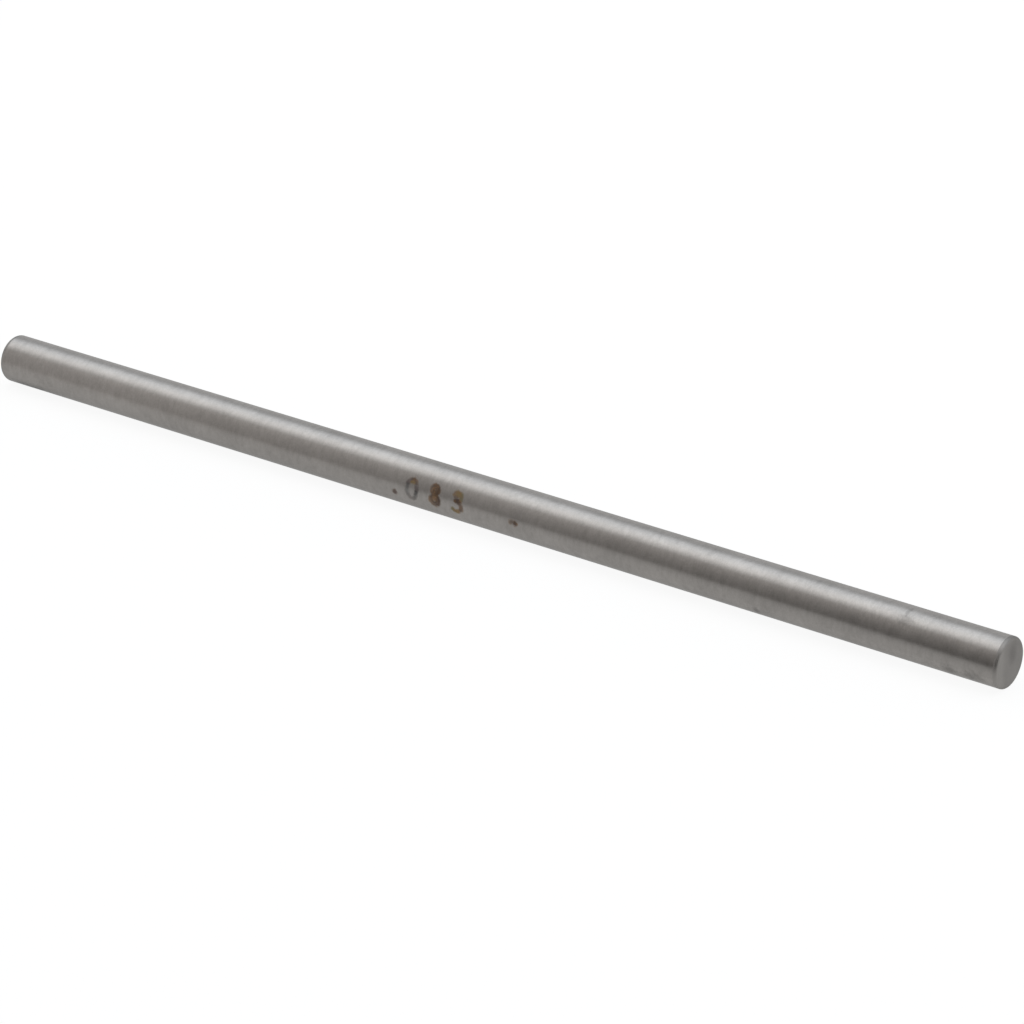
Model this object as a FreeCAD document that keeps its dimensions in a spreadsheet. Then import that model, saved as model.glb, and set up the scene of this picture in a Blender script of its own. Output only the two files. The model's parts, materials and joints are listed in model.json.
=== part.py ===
"""A pin gauge: one hardened steel pin, centreless ground, that tries the size of a hole.

The pin is a single solid, and nothing on it moves. Its barrel is a true cylinder along the whole length,
ground just under its nominal size so that it enters a hole of that size. Both end faces are flat and square
to the barrel. Both edges are rounded alike, so that either end finds its way into the hole.

The frame's origin is on the pin's axis, halfway between the end faces. +X runs along the axis, and +Z is up.
Every length is in millimetres.
"""

import FreeCAD, Part
import os
import Sketcher

DOCUMENT_NAME = "PinGauge"
PIN_NAME = "gauge_pin"
PARTS_FOLDER = "parts"

# The driving dimensions, under the alias that each one has in the sheet.
DRIVING_DIMENSIONS = {
    "NominalSize": 2.1082,  # the hole that the pin tries, 0.083 inch
    "UnderSize": 0.0025,  # how far the barrel is ground under the nominal size
    "PinLength": 50.8,  # over the two end faces, 2 inches
    "EdgeRadius": 0.15,  # of the rounded edge round each end face
}
GROUND_DIAMETER = "Sizes.NominalSize - Sizes.UnderSize"

# How a sketch constraint names a circle's centre, the sketch's origin, and that origin's only point.
CENTRE = 3
SKETCH_ORIGIN = -1
ORIGIN_POINT = 1


def add_sizes(doc):
    """Write the driving dimensions into a spreadsheet, one row each, with its name and its value."""
    sheet = doc.addObject("Spreadsheet::Sheet", "Sizes")
    for row, (alias, value) in enumerate(DRIVING_DIMENSIONS.items(), start=1):
        sheet.set(f"A{row}", alias)
        sheet.set(f"B{row}", str(value))
        sheet.setAlias(f"B{row}", alias)
    doc.recompute()


def origin_plane(body, role):
    """The body's own origin plane that has this role."""
    return next(feature for feature in body.Origin.OriginFeatures if feature.Role == role)


def draw_barrel_section(body):
    """Draw the barrel's round section across the axis, at the middle of the pin."""
    section = body.newObject("Sketcher::SketchObject", "BarrelSection")
    section.AttachmentSupport = [(origin_plane(body, "YZ_Plane"), "")]
    section.MapMode = "FlatFace"
    outline = section.addGeometry(Part.Circle())
    section.addConstraint(Sketcher.Constraint("Coincident", outline, CENTRE, SKETCH_ORIGIN, ORIGIN_POINT))
    nominal_size = DRIVING_DIMENSIONS["NominalSize"]
    diameter = section.addConstraint(Sketcher.Constraint("Diameter", outline, nominal_size))
    section.renameConstraint(diameter, "GroundDiameter")
    section.setExpression("Constraints.GroundDiameter", GROUND_DIAMETER)
    return section


def extrude_barrel(body, section):
    """Run the section the same way to both sides of the middle, out to the flat end faces."""
    barrel = body.newObject("PartDesign::Pad", "Barrel")
    barrel.Profile = section
    barrel.Midplane = True
    barrel.setExpression("Length", "Sizes.PinLength")
    return barrel


def end_edges(barrel):
    """The names of the two circles where the barrel meets its end faces."""
    return [
        f"Edge{number}"
        for number, edge in enumerate(barrel.Shape.Edges, start=1)
        if isinstance(edge.Curve, Part.Circle)
    ]


def round_ends(body, barrel):
    """Round the edge at both ends alike."""
    rounding = body.newObject("PartDesign::Fillet", "RoundedEnds")
    rounding.Base = (barrel, end_edges(barrel))
    rounding.setExpression("Radius", "Sizes.EdgeRadius")


def build_pin(doc):
    """The whole gauge: a ground barrel with rounded ends, in a body of its own."""
    body = doc.addObject("PartDesign::Body", "GaugePin")
    body.Label = PIN_NAME
    barrel = extrude_barrel(body, draw_barrel_section(body))
    doc.recompute()
    round_ends(body, barrel)
    doc.recompute()
    return body


def check_model(doc, pieces):
    """Stop before anything is written if a feature failed or a piece isn't a sound single solid."""
    for item in doc.Objects:
        if {"Invalid", "Error"} & set(item.State):
            raise RuntimeError(f"{item.Name} failed to recompute: {item.State}")
    for piece in pieces:
        if piece.Shape.isNull() or not piece.Shape.isValid() or len(piece.Shape.Solids) != 1:
            raise RuntimeError(f"{piece.Label} is not one valid solid")


def write_pieces(pieces):
    """Write each piece to a STEP file named after its label."""
    os.makedirs(PARTS_FOLDER, exist_ok=True)
    for piece in pieces:
        piece.Shape.exportStep(os.path.join(PARTS_FOLDER, f"{piece.Label}.step"))


document = FreeCAD.newDocument(DOCUMENT_NAME)
add_sizes(document)
gauge_pieces = [build_pin(document)]
check_model(document, gauge_pieces)
write_pieces(gauge_pieces)
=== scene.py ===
"""The looks of a pin gauge: a centreless ground steel pin with its size burnt into the barrel.

The pin is grown as one closed skin by Geometry Nodes, from its length, its radius and its rounded
edges. The size mark is cut into that skin as shallow strokes, and each stroke leaves its heat on the
skin for the finish to read. Lengths are in metres, and MM turns millimetres into them.
"""

import json
import math
import bpy
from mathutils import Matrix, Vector


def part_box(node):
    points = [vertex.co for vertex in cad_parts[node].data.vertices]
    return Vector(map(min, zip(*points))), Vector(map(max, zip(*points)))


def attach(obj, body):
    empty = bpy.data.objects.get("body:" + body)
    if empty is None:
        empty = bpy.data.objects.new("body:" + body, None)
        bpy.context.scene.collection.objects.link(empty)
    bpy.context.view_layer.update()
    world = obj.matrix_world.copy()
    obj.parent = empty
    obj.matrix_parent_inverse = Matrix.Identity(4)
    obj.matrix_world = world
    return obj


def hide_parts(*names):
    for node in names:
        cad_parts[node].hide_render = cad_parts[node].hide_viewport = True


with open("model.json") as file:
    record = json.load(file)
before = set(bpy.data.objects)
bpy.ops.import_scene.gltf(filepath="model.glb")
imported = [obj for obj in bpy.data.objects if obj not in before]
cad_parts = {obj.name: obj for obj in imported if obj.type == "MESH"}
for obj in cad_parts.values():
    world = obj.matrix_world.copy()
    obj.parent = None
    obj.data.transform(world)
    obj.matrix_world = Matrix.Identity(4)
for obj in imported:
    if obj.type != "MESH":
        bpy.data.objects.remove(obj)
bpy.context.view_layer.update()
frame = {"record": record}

MM = 0.001

# ---------------------------------------------------------------- sizes that the frame gives

PIN_NODE = "gauge_pin"
BARREL_MOUNT = next(m for m in frame["record"]["mounts"] if m["name"] == "gauging_cylinder")
SOLID_LOW, SOLID_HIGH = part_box(PIN_NODE)

PIN_LENGTH = SOLID_HIGH.x - SOLID_LOW.x
BARREL_RADIUS = BARREL_MOUNT["dims"]["r_mm"] * MM
EDGE_RADIUS = (PIN_LENGTH - BARREL_MOUNT["dims"]["length_mm"] * MM) / 2
FLOOR_LEVEL = -BARREL_RADIUS

# ---------------------------------------------------------------- the size mark

# The stretch of the barrel that holds the mark: from x to x, and from angle to angle above the -Y side.
MARK_SPAN = (-3.62 * MM, 3.32 * MM)
MARK_ANGLES = (math.radians(-27), math.radians(46))
MARK_DEPTH = 0.004 * MM
STROKE_HALF_WIDTH = 0.075 * MM

# A figure is drawn with arcs of ellipses on the unrolled barrel, in mm: x runs along the pin, and
# height runs round it, up from the -Y side. Each arc has its centre (x, height), its half width and
# half height, the angles where it starts and ends in degrees, the heat of the burn at its two ends,
# and how fully it is burnt there. A heat of 0 is bare steel, 0.2 straw, 0.3 olive, 0.4 gold,
# 0.5 copper, 0.6 brown, 0.65 purple, 0.8 near black and 1 grey.
ZERO = [
    ((-2.362, 0.150), (0.255, 0.412), (90, 35), (0.56, 0.57), (0.86, 0.64)),
    ((-2.362, 0.150), (0.250, 0.412), (35, -5), (0.66, 0.76), (0.38, 0.74)),
    ((-2.362, 0.150), (0.240, 0.412), (-5, -40), (0.80, 0.80), (0.84, 0.62)),
    ((-2.362, 0.150), (0.240, 0.412), (-40, -95), (0.80, 0.74), (0.56, 0.42)),
    ((-2.362, 0.150), (0.240, 0.412), (-95, -170), (0.64, 0.92), (0.40, 0.46)),
    ((-2.362, 0.150), (0.250, 0.412), (190, 155), (0.94, 0.80), (0.48, 0.68)),
    ((-2.362, 0.150), (0.255, 0.412), (155, 125), (0.78, 0.62), (0.66, 0.52)),
    ((-2.362, 0.150), (0.255, 0.412), (125, 90), (0.59, 0.56), (0.54, 0.86)),
    ((-2.350, 0.470), (0.105, 0.016), (170, 10), (0.38, 0.42), (0.84, 0.80)),
]
EIGHT = [
    ((-1.185, 0.415), (0.165, 0.182), (-90, 90), (0.58, 0.55), (0.93, 0.88)),
    ((-1.185, 0.415), (0.165, 0.182), (90, 180), (0.57, 0.50), (0.88, 0.72)),
    ((-1.185, 0.415), (0.165, 0.182), (180, 270), (0.50, 0.57), (0.70, 0.92)),
    ((-1.215, 0.410), (0.045, 0.080), (90, 270), (0.50, 0.52), (0.88, 0.88)),
    ((-1.150, 0.415), (0.030, 0.085), (90, -90), (0.53, 0.56), (0.84, 0.90)),
    ((-1.170, -0.020), (0.215, 0.213), (90, -60), (0.57, 0.58), (0.93, 0.88)),
    ((-1.170, -0.020), (0.215, 0.213), (-60, -150), (0.53, 0.48), (0.84, 0.72)),
    ((-1.170, -0.020), (0.215, 0.213), (-150, -270), (0.50, 0.57), (0.74, 0.90)),
    ((-1.180, -0.015), (0.125, 0.125), (150, -20), (0.49, 0.54), (0.85, 0.90)),
    ((-1.180, -0.015), (0.125, 0.125), (-20, -210), (0.55, 0.49), (0.88, 0.85)),
    ((-1.185, -0.005), (0.045, 0.014), (180, 0), (0.44, 0.47), (0.76, 0.82)),
]
THREE = [
    ((-0.040, 0.405), (0.190, 0.180), (150, 60), (0.46, 0.38), (0.72, 0.90)),
    ((-0.040, 0.405), (0.190, 0.180), (60, -30), (0.36, 0.35), (0.85, 0.80)),
    ((-0.040, 0.405), (0.190, 0.180), (-30, -95), (0.44, 0.56), (0.82, 0.92)),
    ((-0.030, 0.480), (0.060, 0.025), (0, 360), (0.39, 0.39), (0.82, 0.82)),
    ((-0.110, 0.400), (0.030, 0.012), (0, 360), (0.55, 0.55), (0.66, 0.66)),
    ((-0.010, 0.240), (0.100, 0.030), (0, 360), (0.57, 0.57), (0.90, 0.90)),
    ((-0.050, -0.020), (0.240, 0.205), (75, 20), (0.56, 0.52), (0.88, 0.70)),
    ((-0.050, -0.020), (0.240, 0.205), (20, -45), (0.55, 0.56), (0.76, 0.78)),
    ((-0.050, -0.020), (0.240, 0.205), (-45, -138), (0.48, 0.33), (0.80, 0.90)),
]
POINT = [((-3.252, -0.203), (0.030, 0.024), (0, 360), (0.62, 0.62), (0.76, 0.76))]
MINUS = [
    ((2.785, 0.042), (0.095, 0.030), (180, 0), (0.54, 0.55), (0.58, 0.74)),
    ((2.905, 0.045), (0.035, 0.024), (0, 360), (0.57, 0.57), (0.86, 0.86)),
]
SIZE_MARK = [*POINT, *ZERO, *EIGHT, *THREE, *MINUS]

# ---------------------------------------------------------------- the camera

VIEW_AZIMUTH = math.radians(36.09)
VIEW_ELEVATION = math.radians(24.98)
VIEW_DISTANCE = 166.35 * MM
AIM = Vector((1.457, 0.762, -0.520)) * MM
LENS = 141.73
SENSOR_WIDTH = 36.0
CLIP_NEAR = 5 * MM
CLIP_FAR = 10.0


# The Mix node has sockets for every kind of value. These are the share and the two colours, and the result.
COLOUR_MIX_INPUTS = (0, 6, 7)
COLOUR_MIX_OUTPUT = 2


class Tree:
    """A node tree, with short calls that add a node and return the output that is used."""

    def __init__(self, tree):
        self.tree = tree

    def node(self, kind, inputs=None, **settings):
        """Add a node, set its properties, and feed its inputs, which are named by socket or numbered."""
        node = self.tree.nodes.new(kind)
        for name, value in settings.items():
            setattr(node, name, value)
        for socket, value in (inputs or {}).items():
            self.feed(node.inputs[socket], value)
        return node

    def feed(self, socket, value):
        """Link an output to a socket, or set the socket's own value."""
        if isinstance(value, bpy.types.NodeSocket):
            self.tree.links.new(value, socket)
        else:
            socket.default_value = value

    def math(self, operation, *values):
        """One arithmetic step on numbers or outputs."""
        return self.node("ShaderNodeMath", dict(enumerate(values)), operation=operation).outputs[0]

    def total(self, *values):
        """The sum of two or more numbers or outputs."""
        result = values[0]
        for value in values[1:]:
            result = self.math("ADD", result, value)
        return result

    def product(self, *values):
        """The product of two or more numbers or outputs."""
        result = values[0]
        for value in values[1:]:
            result = self.math("MULTIPLY", result, value)
        return result

    def spread(self, value, from_low, from_high, to_low=0.0, to_high=1.0, smooth=False):
        """Map a value from one range to another, and hold it at the ends."""
        inputs = {
            "Value": value,
            "From Min": from_low,
            "From Max": from_high,
            "To Min": to_low,
            "To Max": to_high,
        }
        kind = "SMOOTHSTEP" if smooth else "LINEAR"
        node = self.node("ShaderNodeMapRange", inputs, interpolation_type=kind, clamp=True)
        return node.outputs["Result"]

    def distance_of(self, *offsets):
        """How far a place lies from a middle, given how far it lies from it along each direction."""
        squares = [self.math("POWER", offset, 2.0) for offset in offsets]
        return self.math("SQRT", self.total(*squares))

    def split(self, vector):
        """The x, y and z of a vector."""
        return self.node("ShaderNodeSeparateXYZ", {0: vector}).outputs

    def join(self, x, y, z):
        """A vector from its x, y and z."""
        return self.node("ShaderNodeCombineXYZ", {0: x, 1: y, 2: z}).outputs[0]

    def blend(self, share, first, second):
        """Blend two colours: share 0 is the first, and 1 the second."""
        node = self.node("ShaderNodeMix", data_type="RGBA")
        for number, value in zip(COLOUR_MIX_INPUTS, (share, first, second)):
            self.feed(node.inputs[number], value)
        return node.outputs[COLOUR_MIX_OUTPUT]


def new_tree(name, kind, inputs, outputs):
    """An empty node group with named inputs and outputs, given as (name, socket type) pairs."""
    tree = bpy.data.node_groups.new(name, kind)
    for direction, sockets in (("INPUT", inputs), ("OUTPUT", outputs)):
        for socket_name, socket_type in sockets:
            tree.interface.new_socket(socket_name, in_out=direction, socket_type=socket_type)
    work = Tree(tree)
    given = work.node("NodeGroupInput").outputs
    result = work.node("NodeGroupOutput").inputs
    return work, given, result


# ---------------------------------------------------------------- the pin's skin

# How many rings of the skin lie on each stretch of its outline, from the left end's centre to the right's.
FACE_RINGS = 16
EDGE_RINGS = 9
PLAIN_RINGS = 10
MARK_RINGS = 340
# How many rows of faces run along the pin: fine ones under the mark, and plain ones round the rest.
MARK_ROWS = 66
PLAIN_ROWS = 84
# The plain stretches gather their rings towards the rounded edges, and the end faces towards their rims.
RINGS_GATHER = 2.64
RIM_GATHER = 2.0
# How far from a stroke's middle its heat can still be told, in half widths of the stroke.
FARTHEST_REACH = 4.0
# The groove of a stroke has its full depth within the second reach, and fades out at the first.
GROOVE_REACH = (1.3, 0.3)
STROKE_POINTS = 48
# Points of the skin that are nearer to each other than this are one: at the seam and at the two poles.
SEAM_GAP = 1e-8


def burnt_stroke_group():
    """A group that draws one arc of an ellipse as points, which carry the heat and fullness of its burn."""
    lengths = ["Centre X", "Centre Height", "Half Width", "Half Height", "Start Angle", "Sweep Angle"]
    burns = ["Heat At Start", "Heat At End", "Burn At Start", "Burn At End"]
    inputs = [(name, "NodeSocketFloat") for name in lengths + burns]
    outputs = [("Points", "NodeSocketGeometry")]
    work, given, result = new_tree("burnt_stroke", "GeometryNodeTree", inputs, outputs)
    arc = work.node(
        "GeometryNodeCurveArc",
        {
            "Resolution": STROKE_POINTS,
            "Radius": 1.0,
            "Start Angle": given["Start Angle"],
            "Sweep Angle": given["Sweep Angle"],
        },
    )
    placed = work.node(
        "GeometryNodeTransform",
        {
            "Geometry": arc.outputs["Curve"],
            "Translation": work.join(given["Centre X"], given["Centre Height"], 0.0),
            "Scale": work.join(given["Half Width"], given["Half Height"], 1.0),
        },
    )
    along = work.node("GeometryNodeSplineParameter").outputs["Factor"]
    curve = placed.outputs[0]
    for name in ("Heat", "Burn"):
        value = work.spread(along, 0.0, 1.0, given[name + " At Start"], given[name + " At End"])
        curve = work.node(
            "GeometryNodeStoreNamedAttribute",
            {"Geometry": curve, "Name": name.lower(), "Value": value},
            data_type="FLOAT",
            domain="POINT",
        ).outputs[0]
    points = work.node("GeometryNodeCurveToPoints", {"Curve": curve}, mode="EVALUATED").outputs[0]
    work.feed(result["Points"], points)
    return work.tree


def draw_size_mark(work):
    """All strokes of the size mark as one cloud of points on the unrolled barrel."""
    stroke_group = burnt_stroke_group()
    cloud = work.node("GeometryNodeJoinGeometry")
    for centre, half_size, angles, heats, burns in SIZE_MARK:
        stroke = work.node("GeometryNodeGroup", node_tree=stroke_group)
        values = {
            "Centre X": centre[0] * MM,
            "Centre Height": centre[1] * MM,
            "Half Width": half_size[0] * MM,
            "Half Height": half_size[1] * MM,
            "Start Angle": math.radians(angles[0]),
            "Sweep Angle": math.radians(angles[1] - angles[0]),
            "Heat At Start": heats[0],
            "Heat At End": heats[1],
            "Burn At Start": burns[0],
            "Burn At End": burns[1],
        }
        for name, value in values.items():
            work.feed(stroke.inputs[name], value)
        work.feed(cloud.inputs[0], stroke.outputs["Points"])
    return cloud.outputs[0]


def nearest_stroke(work, cloud, unrolled, half_width):
    """For each point of the skin: its distance from the nearest stroke, and that stroke's heat and burn."""
    search = {"Geometry": cloud, "Sample Position": unrolled}
    nearest = work.node("GeometryNodeSampleNearest", search).outputs[0]

    def sample(value, data_type):
        node = work.node("GeometryNodeSampleIndex", data_type=data_type, domain="POINT")
        work.feed(node.inputs["Geometry"], cloud)
        work.feed(node.inputs["Index"], nearest)
        work.feed(node.inputs["Value"], value)
        return node.outputs[0]

    def named(name):
        node = work.node("GeometryNodeInputNamedAttribute", {"Name": name}, data_type="FLOAT")
        return node.outputs["Attribute"]

    spot = sample(work.node("GeometryNodeInputPosition").outputs[0], "FLOAT_VECTOR")
    gap = work.node("ShaderNodeVectorMath", {0: unrolled, 1: spot}, operation="DISTANCE")
    reach = work.math("DIVIDE", gap.outputs["Value"], half_width)
    reach = work.math("MINIMUM", reach, FARTHEST_REACH)
    return reach, sample(named("heat"), "FLOAT"), sample(named("burn"), "FLOAT")


def pin_skin_tree(barrel_finish, end_finish):
    """The tree that grows the pin's skin from a flat grid: one side runs along its outline, one round it."""
    sizes = ["Length", "Barrel Radius", "Edge Radius"]
    sizes += ["Mark Start", "Mark End", "Mark Low Angle", "Mark High Angle"]
    sizes += ["Mark Depth", "Stroke Half Width", "Face Dish", "End Finish Overlap"]
    work, given, result = new_tree(
        "ground_pin_skin",
        "GeometryNodeTree",
        [(name, "NodeSocketFloat") for name in sizes],
        [("Skin", "NodeSocketGeometry")],
    )
    rings = 2 * (FACE_RINGS + EDGE_RINGS + PLAIN_RINGS) + MARK_RINGS
    rows = MARK_ROWS + PLAIN_ROWS
    grid_sizes = {"Size X": 1.0, "Size Y": 1.0, "Vertices X": rings + 1, "Vertices Y": rows + 1}
    grid = work.node("GeometryNodeMeshGrid", grid_sizes)
    across = work.split(grid.outputs["UV Map"])
    ring = work.product(across[0], float(rings))
    row = work.product(across[1], float(rows))

    # How far the outline has come along each of its stretches, from 0 to 1.
    shares = []
    start = 0
    for count in (FACE_RINGS, EDGE_RINGS, PLAIN_RINGS, MARK_RINGS, PLAIN_RINGS, EDGE_RINGS, FACE_RINGS):
        shares.append(work.spread(ring, float(start), float(start + count)))
        start += count
    left_face, left_edge, left_plain, mark, right_plain, right_edge, right_face = shares

    def from_end(share, power):
        return work.math("SUBTRACT", 1.0, work.math("POWER", work.math("SUBTRACT", 1.0, share), power))

    left_face = from_end(left_face, RIM_GATHER)
    left_plain = work.math("POWER", left_plain, RINGS_GATHER)
    right_plain = from_end(right_plain, RINGS_GATHER)
    right_face = work.math("POWER", right_face, RIM_GATHER)
    left_turn = work.product(left_edge, math.pi / 2)
    right_turn = work.product(right_edge, math.pi / 2)

    # The outline: how far along the axis it is, and how far out from it.
    half_length = work.math("DIVIDE", given["Length"], 2.0)
    edge = given["Edge Radius"]
    barrel_start = work.math("SUBTRACT", edge, half_length)
    barrel_end = work.math("SUBTRACT", half_length, edge)
    left_stretch = work.math("SUBTRACT", given["Mark Start"], barrel_start)
    mark_stretch = work.math("SUBTRACT", given["Mark End"], given["Mark Start"])
    right_stretch = work.math("SUBTRACT", barrel_end, given["Mark End"])
    along = work.total(
        work.product(half_length, -1.0),
        work.product(edge, work.math("SUBTRACT", 1.0, work.math("COSINE", left_turn))),
        work.product(left_plain, left_stretch),
        work.product(mark, mark_stretch),
        work.product(right_plain, right_stretch),
        work.product(edge, work.math("SINE", right_turn)),
    )
    flat_radius = work.math("SUBTRACT", given["Barrel Radius"], edge)
    on_faces = work.math("SUBTRACT", left_face, right_face)
    on_edges = work.total(work.math("SINE", left_turn), work.math("COSINE", right_turn), -1.0)
    outline_radius = work.total(work.product(flat_radius, on_faces), work.product(edge, on_edges))

    # Both end faces are dished a little towards their middle.
    is_left = work.math("LESS_THAN", ring, float(FACE_RINGS))
    is_right = work.math("GREATER_THAN", ring, float(rings - FACE_RINGS))
    dish_side = work.math("SUBTRACT", is_left, is_right)
    dish_shape = work.math("SUBTRACT", 1.0, work.math("POWER", on_faces, 2.0))
    along = work.total(along, work.product(dish_side, dish_shape, given["Face Dish"]))

    # The angle round the axis, from the -Y side upwards: first under the mark, then round the rest.
    mark_turn = work.math("SUBTRACT", given["Mark High Angle"], given["Mark Low Angle"])
    plain_turn = work.math("SUBTRACT", 2 * math.pi, mark_turn)
    angle = work.total(
        given["Mark Low Angle"],
        work.product(work.spread(row, 0.0, float(MARK_ROWS)), mark_turn),
        work.product(work.spread(row, float(MARK_ROWS), float(rows)), plain_turn),
    )

    # The strokes of the mark are cut into the barrel.
    unrolled = work.join(along, work.product(angle, given["Barrel Radius"]), 0.0)
    cloud = draw_size_mark(work)
    reach, heat, burn = nearest_stroke(work, cloud, unrolled, given["Stroke Half Width"])
    cut = work.product(work.spread(reach, *GROOVE_REACH, smooth=True), burn, given["Mark Depth"])
    radius = work.math("SUBTRACT", outline_radius, cut)

    rolled = work.join(
        along,
        work.product(radius, work.math("COSINE", angle), -1.0),
        work.product(radius, work.math("SINE", angle)),
    )
    skin = grid.outputs["Mesh"]
    turned = work.math("SUBTRACT", angle, given["Mark Low Angle"])
    turn_share = work.math("DIVIDE", turned, 2 * math.pi)
    length_share = work.math("DIVIDE", along, given["Length"])
    stored = [
        ("UVMap", work.join(length_share, turn_share, 0.0), "FLOAT2", "CORNER"),
        ("stroke_reach", reach, "FLOAT", "POINT"),
        ("stroke_heat", heat, "FLOAT", "POINT"),
        ("stroke_burn", burn, "FLOAT", "POINT"),
    ]
    for name, value, data_type, domain in stored:
        store = work.node("GeometryNodeStoreNamedAttribute", data_type=data_type, domain=domain)
        for socket, fed in (("Geometry", skin), ("Name", name), ("Value", value)):
            work.feed(store.inputs[socket], fed)
        skin = store.outputs[0]
    skin = work.node("GeometryNodeSetPosition", {"Geometry": skin, "Position": rolled}).outputs[0]
    skin = work.node("GeometryNodeMergeByDistance", {"Geometry": skin, "Distance": SEAM_GAP}).outputs[0]
    skin = work.node("GeometryNodeSetShadeSmooth", {"Geometry": skin}).outputs[0]
    skin = work.node("GeometryNodeRealizeInstances", {"Geometry": skin}).outputs[0]
    skin = work.node("GeometryNodeSetMaterial", {"Geometry": skin, "Material": barrel_finish}).outputs[0]
    place = work.split(work.node("GeometryNodeInputPosition").outputs[0])
    from_middle = work.math("ABSOLUTE", place[0])
    end_start = work.math("SUBTRACT", barrel_end, given["End Finish Overlap"])
    on_end = work.node("FunctionNodeCompare", {0: from_middle, 1: end_start}, operation="GREATER_THAN")
    ends = {"Geometry": skin, "Selection": on_end.outputs[0], "Material": end_finish}
    work.feed(result["Skin"], work.node("GeometryNodeSetMaterial", ends).outputs[0])
    return work.tree


def grow(name, tree, sizes):
    """Grow a tree with these sizes, and return the result as an object with a plain mesh."""
    carrier = bpy.data.objects.new(name + "_carrier", bpy.data.meshes.new(name + "_carrier"))
    bpy.context.scene.collection.objects.link(carrier)
    growth = carrier.modifiers.new("growth", "NODES")
    growth.node_group = tree
    for socket in tree.interface.items_tree:
        if socket.in_out == "INPUT":
            growth[socket.identifier] = sizes[socket.name]
    depsgraph = bpy.context.evaluated_depsgraph_get()
    mesh = bpy.data.meshes.new_from_object(carrier.evaluated_get(depsgraph), depsgraph=depsgraph)
    bpy.data.objects.remove(carrier)
    piece = bpy.data.objects.new(name, mesh)
    bpy.context.scene.collection.objects.link(piece)
    return piece


# ---------------------------------------------------------------- finishes

BARREL_STEEL = (0.262, 0.2495, 0.237, 1.0)
END_STEEL = (0.226, 0.217, 0.2065, 1.0)
# Steel's shine at its very edge, seen nearly flat on, stays below that of a mirror.
STEEL_EDGE_TINT = (0.67, 0.67, 0.67, 1.0)

# The grain that grinding leaves: how far apart its lines are, how long they are, and how broad its patches.
BARREL_GRAIN = {"Line Spacing": 0.045 * MM, "Line Length": 0.095 * MM, "Patch Size": 1.6 * MM}
END_GRAIN = {"Line Spacing": 0.03 * MM, "Line Length": 0.5 * MM, "Patch Size": 0.5 * MM}
# How much larger the broad lines of the grain are than the fine ones.
BROAD_LINE_SIZE = 4.0

# The shade of each finish: what it is without grain, and what the grain's broad lines, fine lines and
# patches add to it.
BARREL_SHADE = (0.555, 0.36, 0.24, 0.28)
END_SHADE = (0.80, 0.16, 0.05, 0.18)
# The roughness of the barrel: without grain, and what broad lines, patches and a full burn add to it.
BARREL_ROUGHNESS = (0.265, 0.04, 0.04, 0.16)
# The roughness of the ends: without grain, and what broad lines add to it.
END_ROUGHNESS = (0.42, 0.08)
# How far the shine of the barrel is drawn out across its grinding lines.
BARREL_ANISOTROPY = 0.55
# How high fine lines, broad lines and patches stand, in parts of the relief's height.
BARREL_RELIEF = (0.5, 1.0, 5.0)
BARREL_RELIEF_HEIGHT = 0.001 * MM
END_RELIEF = (0.4, 1.0)
END_RELIEF_HEIGHT = 0.003 * MM
END_RELIEF_STRENGTH = 0.5

# The burn of the size mark has a ragged edge and uneven heat, in blotches of this size.
BURN_BLOTCH_SIZE = 0.16 * MM
BURN_RAGGEDNESS = 2.2
HEAT_UNEVENNESS = 0.34
# The burn covers the steel fully within the second reach, and fades out at the first.
BURN_REACH = (2.1, 0.5)
# Its heat falls from one reach to the other, from full to this share.
COOLING_REACH = (1.1, 2.6)
COOLEST_SHARE = 0.62
# A full burn is less of a metal than bare steel is.
BURN_METALLIC = 0.6

# A spot of painted shade lies beside the middle of each end face, at (y, z), drawn out along z.
PAINTED_SHADE_SPOT = (0.14 * MM, 0.38 * MM)
PAINTED_SHADE_SPOT_RADII = (0.05 * MM, 0.44 * MM)
PAINTED_SHADE_SPOT_STRETCH = 0.65
PAINTED_SHADE_SPOT_SHADE = 0.78
# Towards the front each end face has painted light, lighter between these values of y.
PAINTED_LIGHT_SIDE = (-0.25 * MM, -0.80 * MM)
PAINTED_LIGHT_SIDE_SHADE = 1.17
# The rounded edge has painted shade along its upper half, which dims its shine there: it rises to full
# strength between these values of z, and fades out over the outer part of the edge, given in edge radii from
# the end.
PAINTED_RIM_SHADE = 0.74
PAINTED_RIM_SHADE_RISE = (0.40 * MM, 0.72 * MM)
PAINTED_RIM_SHADE_FADE = (0.35, 0.05)

# Faint marks that handling left on the barrel, and two rows of painted shadow listed last: where each lies,
# as x in mm and the angle above the -Y side, its half length along the pin and half height round it in mm,
# and how much dimmer it is in its middle.
HANDLING_MARKS_AND_PAINTED_SHADOW = [
    ((21.02, 78), (0.11, 0.28), 0.26),
    ((21.08, 54), (0.36, 0.26), 0.22),
    ((21.00, 62), (0.80, 0.36), 0.07),
    ((14.52, -35), (0.16, 0.26), 0.36),
    ((23.32, -30), (0.38, 0.30), 0.28),
    ((24.28, -29), (0.52, 0.32), 0.28),
    # The last two are painted shadow: the pin's contact shadow on the floor, as the shine along the far end's
    # bottom shows it.
    ((-23.70, -38), (1.40, 0.22), 0.22),
    ((-23.75, -49), (1.30, 0.20), 0.60),
]
# A handling mark or painted shadow is dimmest within the first reach, gone at the second, and ragged by this
# much.
HANDLING_AND_SHADOW_REACH = (0.2, 1.3)
HANDLING_AND_SHADOW_RAGGEDNESS = 2.0

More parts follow.
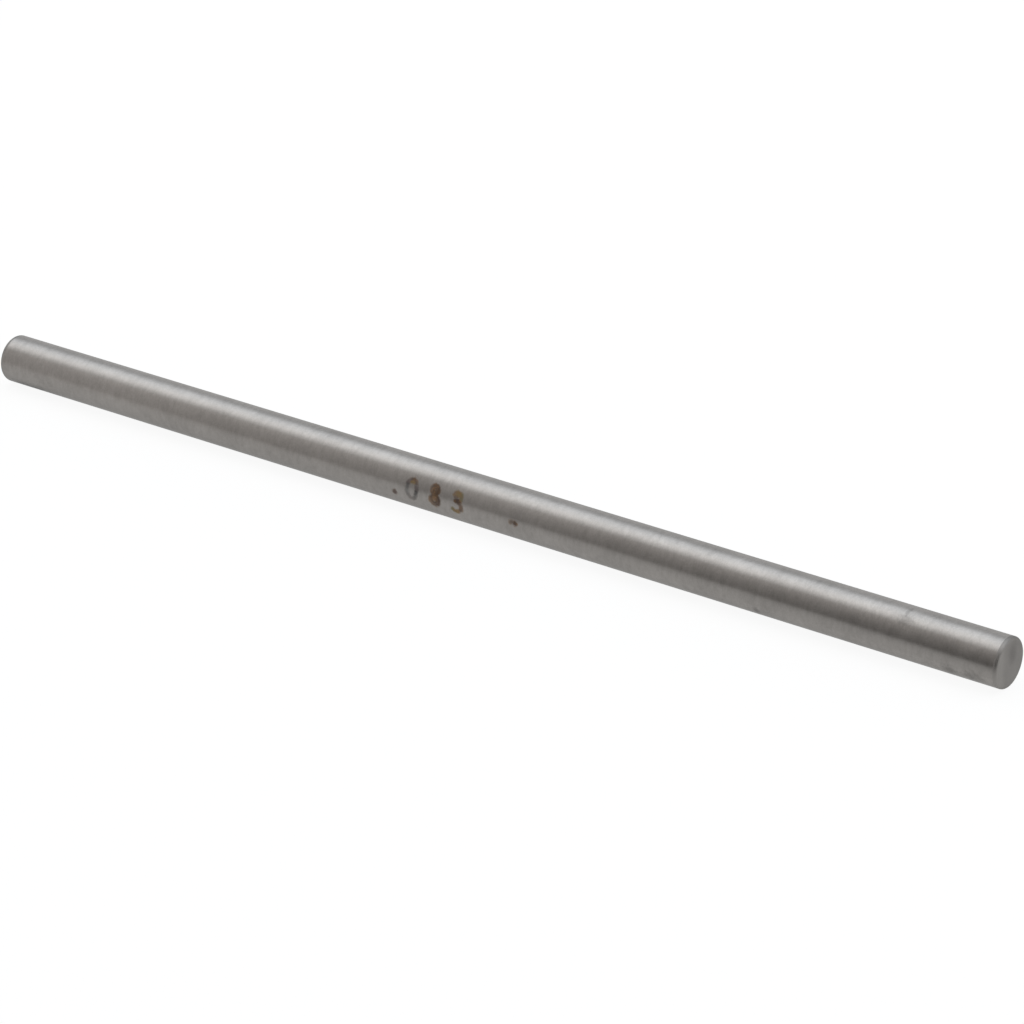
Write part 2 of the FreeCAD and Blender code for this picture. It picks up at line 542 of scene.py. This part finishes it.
# The colours that steel takes as it is burnt hotter, from straw by gold and brown to near black and grey.
HEAT_STAGES = [
    (0.00, BARREL_STEEL),
    (0.20, (0.215, 0.190, 0.125, 1.0)),
    (0.31, (0.132, 0.112, 0.056, 1.0)),
    (0.40, (0.165, 0.104, 0.030, 1.0)),
    (0.48, (0.156, 0.082, 0.034, 1.0)),
    (0.54, (0.086, 0.047, 0.021, 1.0)),
    (0.60, (0.055, 0.029, 0.016, 1.0)),
    (0.65, (0.056, 0.025, 0.024, 1.0)),
    (0.71, (0.032, 0.020, 0.018, 1.0)),
    (0.80, (0.020, 0.018, 0.018, 1.0)),
    (1.00, (0.085, 0.094, 0.094, 1.0)),
]


def new_material(name):
    """A material with nothing in its tree but its output."""
    material = bpy.data.materials.new(name)
    material.use_nodes = True
    material.node_tree.nodes.clear()
    work = Tree(material.node_tree)
    output = work.node("ShaderNodeOutputMaterial")
    return material, work, output


def grinding_grain_group():
    """Fine lines left by a grinding wheel, close across and long along, with broader patches over them."""
    inputs = [("Across", "NodeSocketFloat"), ("Position", "NodeSocketVector")]
    inputs += [(name, "NodeSocketFloat") for name in ("Line Spacing", "Line Length", "Patch Size")]
    outputs = [(name, "NodeSocketFloat") for name in ("Fine Lines", "Broad Lines", "Patches")]
    work, given, result = new_tree("grinding_grain", "ShaderNodeTree", inputs, outputs)
    place = work.split(given["Position"])

    def lines(size, detail):
        spacing = work.product(given["Line Spacing"], size)
        length = work.product(given["Line Length"], size)
        vector = work.join(
            work.math("DIVIDE", given["Across"], spacing),
            work.math("DIVIDE", place[1], length),
            work.math("DIVIDE", place[2], length),
        )
        noise = {"Vector": vector, "Scale": 1.0, "Detail": detail}
        return work.node("ShaderNodeTexNoise", noise, normalize=True).outputs[0]

    work.feed(result["Fine Lines"], lines(1.0, 2.0))
    work.feed(result["Broad Lines"], lines(BROAD_LINE_SIZE, 3.0))
    patch_size = work.join(given["Patch Size"], given["Patch Size"], given["Patch Size"])
    sizes = {0: given["Position"], 1: patch_size}
    patch_vector = work.node("ShaderNodeVectorMath", sizes, operation="DIVIDE").outputs[0]
    patch_noise = {"Vector": patch_vector, "Scale": 1.0, "Detail": 3.0}
    work.feed(result["Patches"], work.node("ShaderNodeTexNoise", patch_noise).outputs[0])
    return work.tree


def place_grain(work, grain_group, across, position, settings):
    """Place the grain in a material, and return its fine lines, broad lines and patches."""
    grain = work.node("ShaderNodeGroup", node_tree=grain_group)
    for name, value in {"Across": across, "Position": position, **settings}.items():
        work.feed(grain.inputs[name], value)
    return [grain.outputs[name] for name in ("Fine Lines", "Broad Lines", "Patches")]


def weighed(work, weights, values):
    """The sum of some values, each times its own weight."""
    return work.total(*(work.product(value, weight) for weight, value in zip(weights, values)))


def varied(work, plain_and_weights, values):
    """A plain value, and what some values that change over the surface add to it, each by its own weight."""
    plain, *weights = plain_and_weights
    return work.total(plain, weighed(work, weights, values))


def heat_colours(work, heat):
    """The colour of the steel at a heat of the burn."""
    ramp = work.node("ShaderNodeValToRGB", {"Fac": heat})
    elements = ramp.color_ramp.elements
    for element, (position, colour) in zip(elements, (HEAT_STAGES[0], HEAT_STAGES[-1])):
        element.position = position
        element.color = colour
    for position, colour in HEAT_STAGES[1:-1]:
        elements.new(position).color = colour
    return ramp.outputs["Color"]


def shaded(work, colour, shade):
    """A colour made darker or lighter by a shade that changes over the surface."""
    node = work.node("ShaderNodeMix", data_type="RGBA", blend_type="MULTIPLY")
    for number, value in zip(COLOUR_MIX_INPUTS, (1.0, colour, work.join(shade, shade, shade))):
        work.feed(node.inputs[number], value)
    return node.outputs[COLOUR_MIX_OUTPUT]


def mark_or_painted_shadow(work, position, wander, centre, half_size, dimness):
    """The shade of one faint handling mark or painted shadow on the barrel: below 1 in its middle, and 1 all
    round it.
    """
    place = work.split(position)
    turn = work.math("ARCTAN2", place[2], work.product(place[1], -1.0))
    along = work.math("SUBTRACT", place[0], centre[0] * MM)
    height = work.product(turn, BARREL_RADIUS)
    above = work.math("SUBTRACT", height, math.radians(centre[1]) * BARREL_RADIUS)
    shares = [work.math("DIVIDE", offset, half * MM) for offset, half in zip((along, above), half_size)]
    reach = work.total(work.distance_of(*shares), work.product(wander, HANDLING_AND_SHADOW_RAGGEDNESS))
    return work.spread(reach, *HANDLING_AND_SHADOW_REACH, 1.0 - dimness, 1.0, smooth=True)


def make_barrel_finish(grain_group):
    """Centreless ground steel: a satin shine drawn out along the axis, with the mark's heat tints, handling
    marks and painted shadow.
    """
    material, work, output = new_material("ground_barrel_steel")
    position = work.node("ShaderNodeTexCoord").outputs["Object"]
    across = work.split(position)[0]
    fine, broad, patches = place_grain(work, grain_group, across, position, BARREL_GRAIN)
    blotch_grain = {**BARREL_GRAIN, "Patch Size": BURN_BLOTCH_SIZE}
    blotches = place_grain(work, grain_group, across, position, blotch_grain)[2]
    wander = work.math("SUBTRACT", blotches, 0.5)

    def stored(name):
        return work.node("ShaderNodeAttribute", attribute_name=name).outputs["Fac"]

    reach, heat, burn = stored("stroke_reach"), stored("stroke_heat"), stored("stroke_burn")
    rough_reach = work.math("ADD", reach, work.product(wander, BURN_RAGGEDNESS))
    cooling = work.spread(rough_reach, *COOLING_REACH, 1.0, COOLEST_SHARE)
    uneven_heat = work.math("ADD", heat, work.product(wander, HEAT_UNEVENNESS))
    covered = work.product(burn, work.spread(rough_reach, *BURN_REACH, smooth=True))

    shade = varied(work, BARREL_SHADE, (broad, fine, patches))
    # Handling marks dim the shade, and so does the painted shadow along the bottom of the far end.
    for centre, half_size, dimness in HANDLING_MARKS_AND_PAINTED_SHADOW:
        shade = work.product(shade, mark_or_painted_shadow(work, position, wander, centre, half_size, dimness))
    burnt = heat_colours(work, work.product(uneven_heat, cooling))
    height = weighed(work, BARREL_RELIEF, (fine, broad, patches))
    relief = {"Strength": 1.0, "Distance": BARREL_RELIEF_HEIGHT, "Height": height}
    shader = work.node(
        "ShaderNodeBsdfPrincipled",
        {
            "Base Color": work.blend(covered, shaded(work, BARREL_STEEL, shade), burnt),
            "Metallic": work.spread(covered, 0.0, 1.0, 1.0, BURN_METALLIC),
            "Roughness": varied(work, BARREL_ROUGHNESS, (broad, patches, covered)),
            "Anisotropic": BARREL_ANISOTROPY,
            "Specular Tint": STEEL_EDGE_TINT,
            "Normal": work.node("ShaderNodeBump", relief).outputs[0],
            "Tangent": work.node("ShaderNodeTangent", direction_type="UV_MAP", uv_map="UVMap").outputs[0],
        },
    )
    work.feed(output.inputs["Surface"], shader.outputs[0])
    return material


def make_end_finish(grain_group):
    """The end faces and their rounded edges: faced with a coarser wheel, so duller, with rings, and painted
    shade and light.
    """
    material, work, output = new_material("faced_end_steel")
    position = work.node("ShaderNodeTexCoord").outputs["Object"]
    place = work.split(position)
    from_axis = work.distance_of(place[1], place[2])
    fine, broad, patches = place_grain(work, grain_group, from_axis, position, END_GRAIN)
    aside = work.math("SUBTRACT", place[1], PAINTED_SHADE_SPOT[0])
    above = work.product(work.math("SUBTRACT", place[2], PAINTED_SHADE_SPOT[1]), PAINTED_SHADE_SPOT_STRETCH)
    from_spot = work.distance_of(aside, above)
    fade = [PIN_LENGTH / 2 - share * EDGE_RADIUS for share in PAINTED_RIM_SHADE_FADE]
    # Painted shade along the upper half of the rounded edge, fading out towards the face.
    painted_rim_mask = work.product(
        work.spread(work.math("ABSOLUTE", place[0]), *fade, 1.0, 0.0),
        work.spread(place[2], *PAINTED_RIM_SHADE_RISE, smooth=True),
    )
    shade = work.product(
        varied(work, END_SHADE, (broad, fine, patches)),
        # Painted shade: a darker spot beside the middle of the face.
        work.spread(from_spot, *PAINTED_SHADE_SPOT_RADII, PAINTED_SHADE_SPOT_SHADE, 1.0, smooth=True),
        # Painted light: lighter towards the front.
        work.spread(place[1], *PAINTED_LIGHT_SIDE, 1.0, PAINTED_LIGHT_SIDE_SHADE, smooth=True),
        work.spread(painted_rim_mask, 0.0, 1.0, 1.0, PAINTED_RIM_SHADE),
    )
    height = weighed(work, END_RELIEF, (fine, broad))
    relief = {"Strength": END_RELIEF_STRENGTH, "Distance": END_RELIEF_HEIGHT, "Height": height}
    shader = work.node(
        "ShaderNodeBsdfPrincipled",
        {
            "Base Color": shaded(work, END_STEEL, shade),
            "Metallic": 1.0,
            "Roughness": varied(work, END_ROUGHNESS, (broad,)),
            "Specular Tint": STEEL_EDGE_TINT,
            "Normal": work.node("ShaderNodeBump", relief).outputs[0],
        },
    )
    work.feed(output.inputs["Surface"], shader.outputs[0])
    return material


# ---------------------------------------------------------------- the studio

# The room is white where it is looked at, also in the steel's shine, and lights the pin less than that.
ROOM_LIGHT = 0.60
FLOOR_COLOUR = (0.75, 0.75, 0.75, 1.0)
FLOOR_HALF_SIZE = 2.0
FLOOR_GLOW_SHARE = 0.92

# The softbox is bent over the pin: how bright it is at its brightest, and what share of that it has at angles
# round the pin's axis, in degrees up from the front.
SOFTBOX_RADIUS = 0.50
SOFTBOX_SPAN = (-0.75, 0.60)
SOFTBOX_PEAK = 2.5
SOFTBOX_GLOW = [
    (60, (0.36, 0.36, 0.36)),
    (70, (0.58, 0.58, 0.58)),
    (82, (0.91, 0.91, 0.92)),
    (98, (0.94, 0.97, 1.00)),
    (112, (0.86, 0.90, 0.95)),
    (126, (0.71, 0.745, 0.79)),
    (135, (0.35, 0.365, 0.385)),
    (160, (0.45, 0.455, 0.46)),
    (174, (0.58, 0.58, 0.585)),
]

# The dark card lies on the floor in front of the pin and then bends up round the pin's axis to the softbox.
CARD_RADIUS = 0.40
CARD_SPAN = (-0.60, 0.70)
CARD_ANGLES = (0.3, 61)
CARD_NEAR_EDGE = 1.2 * MM
# The card's near edge is torn thin, so it fades in between these distances from the pin's axis.
CARD_FADE = (0.5 * MM, 9.0 * MM)
CARD_LIFT = 0.2 * MM
CARD_TINT = (1.0, 0.968, 0.950, 1.0)
# The card's shade where the shine of the pin's middle shows it, how fast it darkens to the right, and
# its limits.
CARD_SHADE_AT_MIDDLE = 0.60
CARD_SHADE_SLOPE = 12.6
CARD_SHADE_LIMITS = (0.05, 1.10)
# The shade that the card rises to at its top, how fast it darkens to the right there, and how late it rises.
CARD_SHADE_AT_TOP = 0.95
CARD_TOP_SLOPE = 3.0
CARD_RISE_POWER = 1.75
# Seen from above, the line from the pin to the card slants by this much, and more so from farther left.
SHINE_SLANT = 0.655
SHINE_FAN = 7.7
BEND_STEPS = 24


def stage_object(name, mesh, material):
    """Add something that belongs to the studio and not to the pin."""
    mesh.materials.append(material)
    thing = bpy.data.objects.new(name, mesh)
    bpy.context.scene.collection.objects.link(thing)
    return thing


def bent_sheet(name, radius, span, angles, foot=()):
    """A sheet bent round the pin's axis from one angle to another, after a foot of (y, z) points."""
    low, high = (math.radians(angle) for angle in angles)
    turns = [low + (high - low) * step / BEND_STEPS for step in range(BEND_STEPS + 1)]
    outline = [*foot, *((-radius * math.cos(turn), radius * math.sin(turn)) for turn in turns)]
    corners = [(x, y, z) for y, z in outline for x in span]
    faces = [(2 * step, 2 * step + 1, 2 * step + 3, 2 * step + 2) for step in range(len(outline) - 1)]
    mesh = bpy.data.meshes.new(name)
    mesh.from_pydata(corners, [], faces)
    return mesh


def looked_at(work):
    """1 for the rays that show a thing, straight, in a shine or through glass, and 0 for others."""
    rays = work.node("ShaderNodeLightPath").outputs
    seen = work.math("MAXIMUM", rays["Is Camera Ray"], rays["Is Glossy Ray"])
    return work.math("MAXIMUM", seen, rays["Is Transmission Ray"])


def make_floor():
    """A pale floor under the pin: most of its brightness is its own, so its shadows are light."""
    material, work, output = new_material("pale_floor")
    lit = work.node("ShaderNodeBsdfDiffuse", {"Color": FLOOR_COLOUR}).outputs[0]
    glow = work.node("ShaderNodeEmission", {"Color": (1.0, 1.0, 1.0, 1.0), "Strength": 1.0}).outputs[0]
    share = work.product(looked_at(work), FLOOR_GLOW_SHARE)
    mixed = work.node("ShaderNodeMixShader", {0: share, 1: lit, 2: glow})
    work.feed(output.inputs["Surface"], mixed.outputs[0])
    half = FLOOR_HALF_SIZE
    mesh = bpy.data.meshes.new("floor")
    corners = [(-half, -half), (half, -half), (half, half), (-half, half)]
    mesh.from_pydata([(x, y, FLOOR_LEVEL) for x, y in corners], [], [(0, 1, 2, 3)])
    stage_object("floor", mesh, material)


def angle_round_axis(work, place):
    """The angle round the pin's axis in degrees, up from the front."""
    turn = work.math("ARCTAN2", place[2], work.product(place[1], -1.0))
    return work.product(turn, math.degrees(1.0))


def make_softbox():
    """A long soft lamp bent over the pin, brightest above it and fading to the front and the back."""
    material, work, output = new_material("softbox_cloth")
    place = work.split(work.node("ShaderNodeTexCoord").outputs["Object"])
    low, high = SOFTBOX_GLOW[0][0], SOFTBOX_GLOW[-1][0]
    ramp = work.node("ShaderNodeValToRGB", {"Fac": work.spread(angle_round_axis(work, place), low, high)})
    ramp.color_ramp.interpolation = "B_SPLINE"
    elements = ramp.color_ramp.elements
    for element, (angle, glow) in zip(elements, (SOFTBOX_GLOW[0], SOFTBOX_GLOW[-1])):
        element.color = (*glow, 1.0)
    for angle, glow in SOFTBOX_GLOW[1:-1]:
        elements.new((angle - low) / (high - low)).color = (*glow, 1.0)
    shine = work.node("ShaderNodeEmission", {"Color": ramp.outputs["Color"], "Strength": SOFTBOX_PEAK})
    work.feed(output.inputs["Surface"], shine.outputs[0])
    mesh = bent_sheet("softbox", SOFTBOX_RADIUS, SOFTBOX_SPAN, (low, high))
    stage_object("softbox", mesh, material).visible_camera = False


def make_dark_card():
    """A dark card before the pin that only shows in the steel's shine, lighter to the left and upwards."""
    material, work, output = new_material("dark_card")
    place = work.split(work.node("ShaderNodeTexCoord").outputs["Object"])
    distance = work.distance_of(place[1], place[2])
    slant = work.total(place[0], work.product(distance, SHINE_SLANT))
    fan = work.total(1.0, work.product(distance, SHINE_FAN))
    mirrored_x = work.math("DIVIDE", slant, fan)
    darkest, lightest = CARD_SHADE_LIMITS
    from_middle = ((CARD_SHADE_AT_MIDDLE - shade) / CARD_SHADE_SLOPE for shade in CARD_SHADE_LIMITS)
    shade = work.spread(mirrored_x, *from_middle, darkest, lightest)
    height_share = work.spread(angle_round_axis(work, place), 0.0, CARD_ANGLES[1])
    rise = work.math("POWER", height_share, CARD_RISE_POWER)
    top_shade = work.math("SUBTRACT", CARD_SHADE_AT_TOP, work.product(mirrored_x, CARD_TOP_SLOPE))
    shade = work.total(shade, work.product(rise, work.math("SUBTRACT", top_shade, shade)))
    glow = work.node("ShaderNodeEmission", {"Color": CARD_TINT, "Strength": shade}).outputs[0]
    clear = work.node("ShaderNodeBsdfTransparent").outputs[0]
    faded = work.node("ShaderNodeMixShader", {0: work.spread(distance, *CARD_FADE), 1: clear, 2: glow})
    work.feed(output.inputs["Surface"], faded.outputs[0])
    foot = [(y, FLOOR_LEVEL + CARD_LIFT) for y in (-CARD_NEAR_EDGE, -CARD_RADIUS)]
    mesh = bent_sheet("dark_card", CARD_RADIUS, CARD_SPAN, CARD_ANGLES, foot)
    card = stage_object("dark_card", mesh, material)
    card.visible_camera = False
    card.visible_diffuse = False
    card.visible_shadow = False


def make_air():
    """The pale room all round, which fills the shadows."""
    world = bpy.data.worlds.new("studio_air")
    world.use_nodes = True
    work = Tree(world.node_tree)
    background = world.node_tree.nodes["Background"]
    work.feed(background.inputs["Color"], (1.0, 1.0, 1.0, 1.0))
    work.feed(background.inputs["Strength"], work.spread(looked_at(work), 0.0, 1.0, ROOM_LIGHT, 1.0))
    bpy.context.scene.world = world


def make_camera():
    """The camera, level, looking down on the pin from its front right."""
    back = Vector(
        (
            math.sin(VIEW_AZIMUTH) * math.cos(VIEW_ELEVATION),
            -math.cos(VIEW_AZIMUTH) * math.cos(VIEW_ELEVATION),
            math.sin(VIEW_ELEVATION),
        )
    )
    lens = bpy.data.cameras.new("camera")
    lens.lens = LENS
    lens.sensor_width = SENSOR_WIDTH
    lens.clip_start = CLIP_NEAR
    lens.clip_end = CLIP_FAR
    camera = bpy.data.objects.new("camera", lens)
    camera.location = AIM + back * VIEW_DISTANCE
    camera.rotation_mode = "QUATERNION"
    camera.rotation_quaternion = (-back).to_track_quat("-Z", "Y")
    bpy.context.scene.collection.objects.link(camera)
    bpy.context.scene.camera = camera


# ---------------------------------------------------------------- the making

# How deep the middle of each end face is dished.
FACE_DISH = 0.010 * MM
# The end's duller finish runs a little way onto the barrel.
END_FINISH_OVERLAP = 0.04 * MM

grain_group = grinding_grain_group()
skin_tree = pin_skin_tree(make_barrel_finish(grain_group), make_end_finish(grain_group))
pin = grow(
    "ground_pin",
    skin_tree,
    {
        "Length": PIN_LENGTH,
        "Barrel Radius": BARREL_RADIUS,
        "Edge Radius": EDGE_RADIUS,
        "Mark Start": MARK_SPAN[0],
        "Mark End": MARK_SPAN[1],
        "Mark Low Angle": MARK_ANGLES[0],
        "Mark High Angle": MARK_ANGLES[1],
        "Mark Depth": MARK_DEPTH,
        "Stroke Half Width": STROKE_HALF_WIDTH,
        "Face Dish": FACE_DISH,
        "End Finish Overlap": END_FINISH_OVERLAP,
    },
)
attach(pin, "root")
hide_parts(PIN_NODE)

make_floor()
make_dark_card()
make_softbox()
make_air()
make_camera()
bpy.context.scene.view_settings.view_transform = "Standard"
